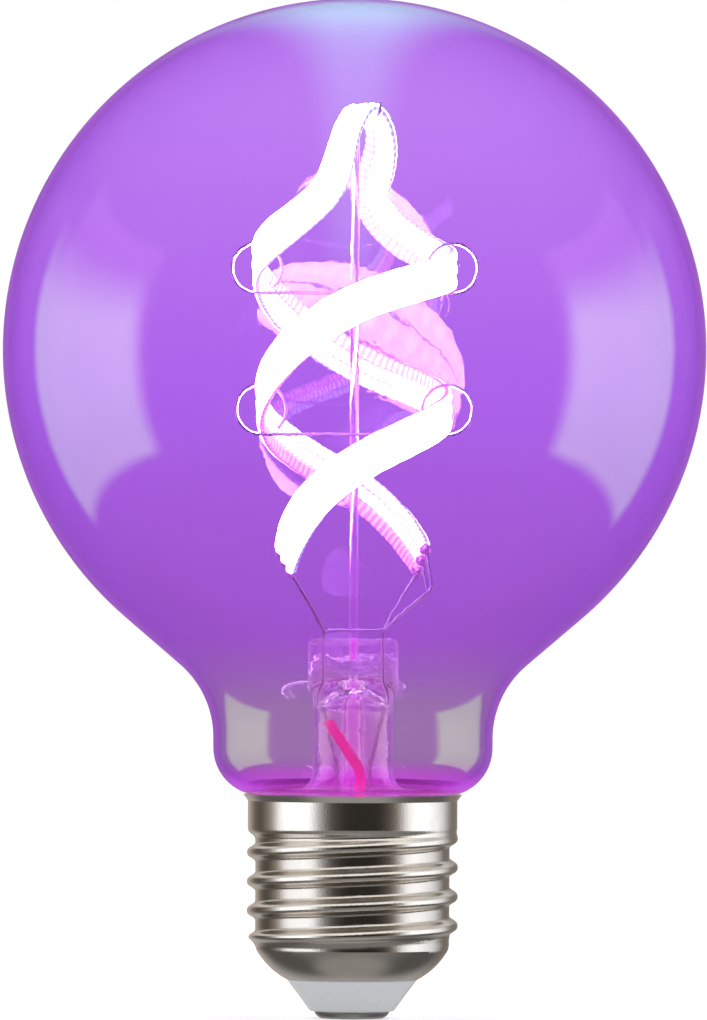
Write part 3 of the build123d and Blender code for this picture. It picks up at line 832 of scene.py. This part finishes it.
@made_once
def bulb_strip():
    """Nodes that coat a route with a rounded strip and set chips along it."""
    tree = bpy.data.node_groups.new("bulb_strip", "GeometryNodeTree")
    sockets = {"route": "Geometry", "coat": "Material", "chips": "Material"}
    sockets.update(dict.fromkeys(STRIP_SIZES, "Float"))
    for label, kind in sockets.items():
        tree.interface.new_socket(name=label, in_out="INPUT", socket_type="NodeSocket" + kind)
    tree.interface.new_socket(name="strip", in_out="OUTPUT", socket_type="NodeSocketGeometry")
    shades = Shades(tree)
    source = shades.add("NodeGroupInput").outputs
    sink = shades.add("NodeGroupOutput").inputs

    route = shades.out("GeometryNodeMeshToCurve", {"Mesh": source["route"]})
    facing = shades.add("GeometryNodeInputNamedAttribute", {"Name": "facing"}, data_type="FLOAT_VECTOR")
    turned = shades.out(
        "GeometryNodeSetCurveNormal", {"Curve": route, "Normal": facing.outputs["Attribute"]}, mode="FREE"
    )
    marked = shades.store(turned, "along", shades.add("GeometryNodeSplineParameter").outputs["Length"])

    box = shades.out(
        "GeometryNodeCurvePrimitiveQuadrilateral", {"Width": source["thickness"], "Height": source["width"]}
    )
    rounded = shades.out(
        "GeometryNodeFilletCurve",
        {"Curve": box, "Count": CORNER_STEPS, "Radius": source["corner"], "Limit Radius": True},
        mode="POLY",
    )
    spot = shades.add("ShaderNodeSeparateXYZ", {0: shades.out("GeometryNodeInputPosition")}).outputs
    half = shades.math("MULTIPLY", source["thickness"], 0.5)
    section = shades.store(rounded, "side", shades.math("DIVIDE", spot["X"], half))
    inputs = {"Curve": marked, "Profile Curve": section, "Fill Caps": True}
    bare = shades.out("GeometryNodeCurveToMesh", inputs)
    coated = shades.out("GeometryNodeSetMaterial", {"Geometry": bare, "Material": source["coat"]})

    inputs = {"Curve": marked, "Length": source["chip_pitch"]}
    spots = shades.add("GeometryNodeCurveToPoints", inputs, mode="LENGTH").outputs
    axes = {"Primary Axis": spots["Normal"], "Secondary Axis": spots["Tangent"]}
    upright = shades.out("FunctionNodeAxesToRotation", axes, primary_axis="Z", secondary_axis="X")
    lift = shades.out("ShaderNodeVectorMath", {0: spots["Normal"], "Scale": half}, operation="SCALE")
    raised = shades.out("GeometryNodeSetPosition", {"Geometry": spots["Points"], "Offset": lift})
    dome = shades.add("GeometryNodeMeshUVSphere", {"Segments": 8, "Rings": 4, "Radius": 0.5}).outputs["Mesh"]
    rise = shades.math("MULTIPLY", source["chip_rise"], 2.0)
    sizes = {"X": source["chip_length"], "Y": source["chip_width"], "Z": rise}
    shape = shades.out("ShaderNodeCombineXYZ", sizes)
    inputs = {"Points": raised, "Instance": dome, "Rotation": upright, "Scale": shape}
    domes = shades.out("GeometryNodeInstanceOnPoints", inputs)
    solid = shades.out("GeometryNodeRealizeInstances", {"Geometry": domes})
    lit = shades.store(solid, "side", 1.0)
    chips = shades.out("GeometryNodeSetMaterial", {"Geometry": lit, "Material": source["chips"]})
    whole = shades.add("GeometryNodeJoinGeometry")
    shades.join(coated, whole.inputs[0])
    shades.join(chips, whole.inputs[0])
    plain = shades.out("GeometryNodeRealizeInstances", {"Geometry": whole.outputs[0]})
    ready = shades.out("GeometryNodeSetShadeSmooth", {"Geometry": plain, "Shade Smooth": True})
    shades.join(ready, sink[0])
    return tree


def make_strip(name, look, place, light, back_power, node):
    """One strip with its chips, as a plain mesh in place of its node."""
    route, facing = strip_route(look, place)
    line = bpy.data.meshes.new(name + "_route")
    line.from_pydata([tuple(p) for p in route], [(i, i + 1) for i in range(len(route) - 1)], [])
    layer = line.attributes.new("facing", "FLOAT_VECTOR", "POINT")
    layer.data.foreach_set("vector", facing.astype(np.float32).ravel())
    maker = bpy.data.objects.new(name + "_route", line)
    bpy.context.scene.collection.objects.link(maker)
    modifier = maker.modifiers.new("strip", "NODES")
    tree = bulb_strip()
    modifier.node_group = tree
    values = {key: getattr(look, key) for key in STRIP_SIZES}
    values["coat"] = strip_light(name + "_coat", look, light, back_power, look.front_power)
    values["chips"] = strip_light(name + "_chips", look, light, back_power, look.front_power * CHIP_GAIN)
    for item in tree.interface.items_tree:
        if item.in_out == "INPUT" and item.name in values:
            modifier[item.identifier] = values[item.name]
    bpy.context.view_layer.update()
    ready = maker.evaluated_get(bpy.context.evaluated_depsgraph_get())
    mesh = bpy.data.meshes.new_from_object(ready)
    mesh.name = name
    bpy.data.objects.remove(maker)
    if not mesh.polygons:
        raise RuntimeError(f"{name} came out empty")
    mesh.set_sharp_from_angle(angle=math.radians(STRIP_SHARP))
    add_piece(name, mesh, None, node)


class BULB_OT_make_filaments(bpy.types.Operator):
    """Winds the three filament strips as a double spiral"""

    bl_idname = "bulb.make_filaments"
    bl_label = "Filament Strips"

    def execute(self, context):
        look = context.scene.bulb_filament
        strips = (
            ("red", -1, look.red_light, look.pink_back),
            ("green", 0, look.green_light, look.back_power),
            ("blue", 1, look.blue_light, look.back_power),
        )
        for colour, place, light, back_power in strips:
            make_strip(f"{colour}_strip", look, place, light, back_power, f"filament_{colour}")
        return {"FINISHED"}


# Wires, leads and cap


class BULB_OT_make_supports(bpy.types.Operator):
    """Makes the ring wires and the hook on the rod"""

    bl_idname = "bulb.make_supports"
    bl_label = "Support Wires"

    def execute(self, context):
        colour = context.scene.bulb_cap.wire_color
        wire = metal("support_wire", colour, shaded(colour, 0.7), rough=0.25, scale=3000.0, depth=0.1)
        for node in ("lower_support_wire", "upper_support_wire", "top_hook"):
            dress(node, wire, WIRE_SHARP)
        return {"FINISHED"}


class BULB_OT_make_leads(bpy.types.Operator):
    """Makes the lead wires, the red sleeve and the solder beads"""

    bl_idname = "bulb.make_leads"
    bl_label = "Leads and Solder"

    def execute(self, context):
        look = context.scene.bulb_cap
        colour, bead = look.wire_color, look.solder_color
        dull = shaded(colour, 0.65)
        # Painted glow on the leads, standing in for the strips' light
        wire = metal("lead_wire", colour, dull, rough=0.3, scale=3500.0, depth=0.15, glow=0.12)
        for node in ("common_lead", "red_lead", "green_lead", "blue_lead"):
            dress(node, wire, WIRE_SHARP)
        # Painted glow: the red sleeve shines as if the strips lit it through
        sleeve = plain_finish("red_sleeve", look.sleeve_color, rough=0.4, scale=2200.0, depth=0.15, glow=0.9)
        dress("lead_sleeve", sleeve, WIRE_SHARP)
        # Painted light: pink, glowing solder stands in for the strips' light on it
        solder = metal("solder", bead, shaded(bead, 0.75), rough=0.22, scale=1800.0, depth=0.35, glow=0.35)
        beads = smooth_copy("solder_joints", WIRE_SHARP)
        add_piece("solder_beads", beads, solder, "solder_joints")
        return {"FINISHED"}


class BULB_OT_make_cap(bpy.types.Operator):
    """Makes the screw shell, the insulator and the centre contact"""

    bl_idname = "bulb.make_cap"
    bl_label = "Screw Cap"

    def execute(self, context):
        look = context.scene.bulb_cap
        sheet = smooth_copy("screw_shell", SHELL_SHARP)
        pinch_crests(sheet, look)
        add_piece("screw_shell_piece", sheet, nickel_plate(look), "screw_shell")
        pale = look.insulator_color
        white = plain_finish("white_insulator", pale, 0.28, 900.0, 0.06, coat=0.3, spread=0.03)
        collar = smooth_copy("cap_insulator", BASE_SHARP)
        add_piece("insulator_piece", collar, white, "cap_insulator")
        colour = look.contact_color
        tin = metal("contact_metal", colour, shaded(colour, 0.6), rough=0.3, scale=2500.0, depth=0.25)
        contact = smooth_copy("centre_contact", BASE_SHARP)
        add_piece("contact_piece", contact, tin, "centre_contact")
        return {"FINISHED"}


class BULB_OT_dress_driver(bpy.types.Operator):
    """Gives the cement and the driver inside the cap their finishes"""

    bl_idname = "bulb.dress_driver"
    bl_label = "Cement and Driver"

    def execute(self, context):
        cement = context.scene.bulb_cap.cement_color
        # Name, colour, roughness, size and depth of grain, and clear coat of each finish
        plain = {
            "cap_cement": ("cement", cement, 0.85, 1400.0, 0.4),
            "driver_board": ("circuit_board", (0.05, 0.20, 0.10), 0.4, 900.0, 0.1, 0.2),
            "smoothing_capacitor": ("capacitor_can", (0.06, 0.07, 0.11), 0.3, 700.0, 0.08, 0.4),
            "choke_coil": ("choke_winding", (0.28, 0.13, 0.06), 0.35, 2600.0, 0.4, 0.3),
            "fusible_resistor": ("resistor_coat", (0.13, 0.27, 0.22), 0.5, 1500.0, 0.15),
        }
        finishes = {node: plain_finish(*values) for node, values in plain.items()}
        black = plain_finish("black_plastic", (0.045, 0.045, 0.05), rough=0.45, scale=1800.0, depth=0.12)
        bright, dull = (0.74, 0.46, 0.30), (0.50, 0.30, 0.20)
        copper = metal("cap_wire", bright, dull, rough=0.3, scale=3000.0, depth=0.1)
        finishes.update(bridge_rectifier=black, driver_chip=black, live_wire=copper, neutral_wire=copper)
        for node, finish in finishes.items():
            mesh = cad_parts[node].data
            mesh.materials.clear()
            mesh.materials.append(finish)
        return {"FINISHED"}


# Stage

# What the glass mirrors, from unlit to lit: bearings from the front and rises above the level in degrees,
# and how far to the side the light above reaches
BOX_INNER = (72, 80)
BOX_OUTER = (132, 126)
BOX_FADE = (84, 124)
BOX_FAR_LEVEL = 0.45
BOX_FOOT = (-29, -25)
BOX_HEAD = (22, 5)
TOP_SIDES = (0.22, 0.03)
TOP_RISE = (6, 44)
DEEP_RISE = (20, 40)
DEEP_WALLS = 2.5

# What the metal mirrors: brightness by bearing all round, by bearing to either side lower down, and higher
# up before and behind; then the bands of rises in which each takes over
METAL_ROUND = (
    (-180, 0.5), (-158, 0.5), (-136, 0.15), (-121, 0.10), (-108, 0.24), (-98, 0.45), (-86, 1.6),
    (-50, 1.8), (-38, 0.57), (-27, 0.12), (-8, 0.03), (30, 0.03), (45, 0.12), (55, 0.4), (65, 1.5),
    (80, 1.8), (112, 1.2), (136, 0.24), (160, 0.22), (180, 0.5),
)
METAL_LOW = ((0, 0.28), (60, 0.28), (105, 0.14), (140, 0.14), (165, 0.55))
METAL_HIGH = (1.30, 0.75)
HIGH_TURN = (60, 110)
LOW_RISE = (-18, -30)
BELOW_RISE = (-58, -72)
HIGH_RISE = (14, 26)
ABOVE_RISE = (55, 75)

# Bright parts of the studio are cool in the metal and dim ones warm
COOL = (1.0, 1.05, 1.13)
WARM = (1.08, 0.98, 0.88)
COOL_FROM = 0.5

# Floor, unseen soft lamps and camera
FLOOR_HALF = 3.0
FLOOR_GLOW = 0.4
LAMP_PLACE = (0.55, 0.05, 0.16)
LAMP_AIM = (0.0, 0.0, 0.06)
LAMP_SIZE = (0.5, 0.7)
LAMP_POWER = 1.6
SENSOR_WIDTH = 36.0
CLIP_START = 0.05
CLIP_END = 20.0
BOUNCES = 24


def grey(level):
    """Neutral colour."""
    return (level,) * 3


def between(shades, value, edges):
    """Smooth step between two angles in degrees."""
    low, high = (math.radians(edge) for edge in edges)
    return shades.remap(value, low, high, kind="SMOOTHSTEP")


def product(shades, first, *others):
    """Product of some values."""
    for value in others:
        first = shades.math("MULTIPLY", first, value)
    return first


def glass_mirror(shades, look, aside, turned, rise):
    """Soft boxes at both sides and a light above, in the lamp's own violet."""
    fade_start, fade_end = (math.radians(edge) for edge in BOX_FADE)
    sides = product(shades, between(shades, turned, BOX_INNER), between(shades, turned, BOX_OUTER))
    faded = shades.remap(turned, fade_start, fade_end, 1.0, BOX_FAR_LEVEL)
    tall = product(shades, between(shades, rise, BOX_FOOT), between(shades, rise, BOX_HEAD))
    overhead = shades.remap(aside, *TOP_SIDES, kind="SMOOTHSTEP")
    box = product(shades, sides, faded, tall)
    top = product(shades, overhead, between(shades, rise, TOP_RISE))
    boxes = blend(shades, box, look.violet_color, shaded(look.box_color, look.box_power))
    return blend(shades, top, boxes, shaded(look.top_color, look.top_power))


def metal_mirror(shades, look, bearing, turned, rise):
    """Bright and dark sides of the studio, bright above and dim below."""
    share = shades.remap(bearing, -math.pi, math.pi)
    stops = []
    for angle, level in METAL_ROUND:
        stops.append(((angle + 180) / 360, shaded(COOL if level > COOL_FROM else WARM, level)))
    seen = ramp(shades, share, stops)
    around = shades.remap(turned, 0.0, math.pi)
    low = ramp(shades, around, [(angle / 180, grey(level)) for angle, level in METAL_LOW])
    before, behind = METAL_HIGH
    high = blend(shades, between(shades, turned, HIGH_TURN), grey(before), grey(behind))
    below, above = grey(look.below), grey(look.above)
    for edges, colour in ((LOW_RISE, low), (BELOW_RISE, below), (HIGH_RISE, high), (ABOVE_RISE, above)):
        seen = blend(shades, between(shades, rise, edges), seen, colour)
    return seen


def studio_world(look):
    """White behind the lamp, even fill light, and what the glass and the metal mirror."""
    world = bpy.data.worlds.new("studio")
    world.use_nodes = True
    world.node_tree.nodes.clear()
    shades = Shades(world.node_tree)
    output = shades.add("ShaderNodeOutputWorld")
    place = shades.add("ShaderNodeTexCoord").outputs["Generated"]
    parts = shades.add("ShaderNodeSeparateXYZ", {0: place}).outputs
    bearing = shades.math("ARCTAN2", parts["X"], shades.math("MULTIPLY", parts["Y"], -1.0))
    turned = shades.math("ABSOLUTE", bearing)
    rise = shades.math("ARCSINE", parts["Z"])
    in_glass = glass_mirror(shades, look, shades.math("ABSOLUTE", parts["X"]), turned, rise)
    in_metal = metal_mirror(shades, look, bearing, turned, rise)

    path = shades.add("ShaderNodeLightPath").outputs
    straight = shades.math("LESS_THAN", path["Glossy Depth"], 0.5)
    through = shades.math("MULTIPLY", path["Is Transmission Ray"], straight)
    clear = shades.math("MAXIMUM", path["Is Camera Ray"], through)
    walls = shades.math("GREATER_THAN", path["Transmission Depth"], DEEP_WALLS)
    deep = product(shades, walls, between(shades, rise, DEEP_RISE))
    in_glass = blend(shades, deep, in_glass, look.deep_color)
    mirrored = blend(shades, path["Is Singular Ray"], in_metal, in_glass)
    lit = blend(shades, path["Is Glossy Ray"], grey(look.fill), mirrored)
    lit = blend(shades, clear, lit, WHITE)
    sky = shades.out("ShaderNodeBackground", {"Color": lit, "Strength": 1.0})
    shades.join(sky, output.inputs["Surface"])
    bpy.context.scene.world = world


def stage_floor(look):
    """Plain pale floor under the contact that keeps the lamp's shadow."""
    build = bmesh.new()
    bmesh.ops.create_grid(build, x_segments=8, y_segments=8, size=FLOOR_HALF)
    mesh = bpy.data.meshes.new("floor")
    build.to_mesh(mesh)
    build.free()
    floor = bpy.data.objects.new("floor", mesh)
    bpy.context.scene.collection.objects.link(floor)
    material, shades, output = new_material("pale_floor")
    matt = shades.out("ShaderNodeBsdfDiffuse", {"Color": (*look.floor_color, 1.0)})
    path = shades.add("ShaderNodeLightPath").outputs
    seen = shades.math("MAXIMUM", path["Is Camera Ray"], path["Is Transmission Ray"])
    glow = shades.math("MULTIPLY", seen, FLOOR_GLOW)
    white = shades.out("ShaderNodeEmission", {"Strength": glow})
    both = shades.out("ShaderNodeAddShader", {0: matt, 1: white})
    shades.join(both, output.inputs["Surface"])
    mesh.materials.append(material)
    floor.visible_glossy = False
    floor.visible_transmission = False


def soft_lamp(name, side):
    """Soft box that lights the bulb from one side but isn't seen; side is -1 or 1."""
    data = bpy.data.lights.new(name, "AREA")
    data.shape = "RECTANGLE"
    data.size, data.size_y = LAMP_SIZE
    data.energy = LAMP_POWER
    lamp = bpy.data.objects.new(name, data)
    bpy.context.scene.collection.objects.link(lamp)
    lamp.location = (side * LAMP_PLACE[0], *LAMP_PLACE[1:])
    lamp.rotation_euler = (Vector(LAMP_AIM) - lamp.location).to_track_quat("-Z", "Y").to_euler()
    lamp.visible_camera = False
    lamp.visible_glossy = False
    lamp.visible_transmission = False


class BULB_OT_make_stage(bpy.types.Operator):
    """Sets up the floor, the studio light and the camera"""

    bl_idname = "bulb.make_stage"
    bl_label = "Stage"

    def execute(self, context):
        scene = context.scene
        look = scene.bulb_stage
        studio_world(look)
        stage_floor(look)
        soft_lamp("left_box", -1)
        soft_lamp("right_box", 1)
        data = bpy.data.cameras.new("camera")
        camera = bpy.data.objects.new("camera", data)
        scene.collection.objects.link(camera)
        data.sensor_width = SENSOR_WIDTH
        tall = IMAGE_HEIGHT / look.pixels_per_mm * MM
        data.lens = SENSOR_WIDTH * look.distance / tall
        data.clip_start, data.clip_end = CLIP_START, CLIP_END
        camera.location = (look.aim_side, -look.distance, look.aim_height)
        level = Matrix.Rotation(math.pi / 2, 4, "X")
        camera.rotation_euler = (level @ Matrix.Rotation(look.roll, 4, "Z")).to_euler()
        scene.camera = camera
        scene.view_settings.view_transform = "Standard"
        scene.cycles.max_bounces = BOUNCES
        scene.cycles.transmission_bounces = BOUNCES
        scene.cycles.sample_clamp_indirect = 0.0
        return {"FINISHED"}


class BULB_PT_panel(bpy.types.Panel):
    """Lists the bulb's pieces"""

    bl_idname = "BULB_PT_panel"
    bl_label = "Globe Bulb"
    bl_space_type = "VIEW_3D"
    bl_region_type = "UI"
    bl_category = "Bulb"

    def draw(self, context):
        for operator in OPERATORS:
            self.layout.operator(operator.bl_idname)


GROUPS = {
    "bulb_glass": BulbGlass,
    "bulb_filament": BulbFilament,
    "bulb_cap": BulbCap,
    "bulb_stage": BulbStage,
}
OPERATORS = (
    BULB_OT_make_globe,
    BULB_OT_make_mount,
    BULB_OT_make_supports,
    BULB_OT_make_filaments,
    BULB_OT_make_leads,
    BULB_OT_make_cap,
    BULB_OT_dress_driver,
    BULB_OT_make_stage,
)


def register():
    """Makes looks, operators and panel known to Blender."""
    for name, group in GROUPS.items():
        bpy.utils.register_class(group)
        setattr(bpy.types.Scene, name, bpy.props.PointerProperty(type=group))
    for operator in OPERATORS:
        bpy.utils.register_class(operator)
    bpy.utils.register_class(BULB_PT_panel)


def unregister():
    """Takes panel, operators and looks away again."""
    bpy.utils.unregister_class(BULB_PT_panel)
    for operator in reversed(OPERATORS):
        bpy.utils.unregister_class(operator)
    for name, group in GROUPS.items():
        delattr(bpy.types.Scene, name)
        bpy.utils.unregister_class(group)


def main():
    """Builds the stage and every piece."""
    register()
    bpy.ops.bulb.make_stage()
    bpy.ops.bulb.make_globe()
    bpy.ops.bulb.make_mount()
    bpy.ops.bulb.make_supports()
    bpy.ops.bulb.make_filaments()
    bpy.ops.bulb.make_leads()
    bpy.ops.bulb.make_cap()
    bpy.ops.bulb.dress_driver()


if __name__ == "__main__":
    main()
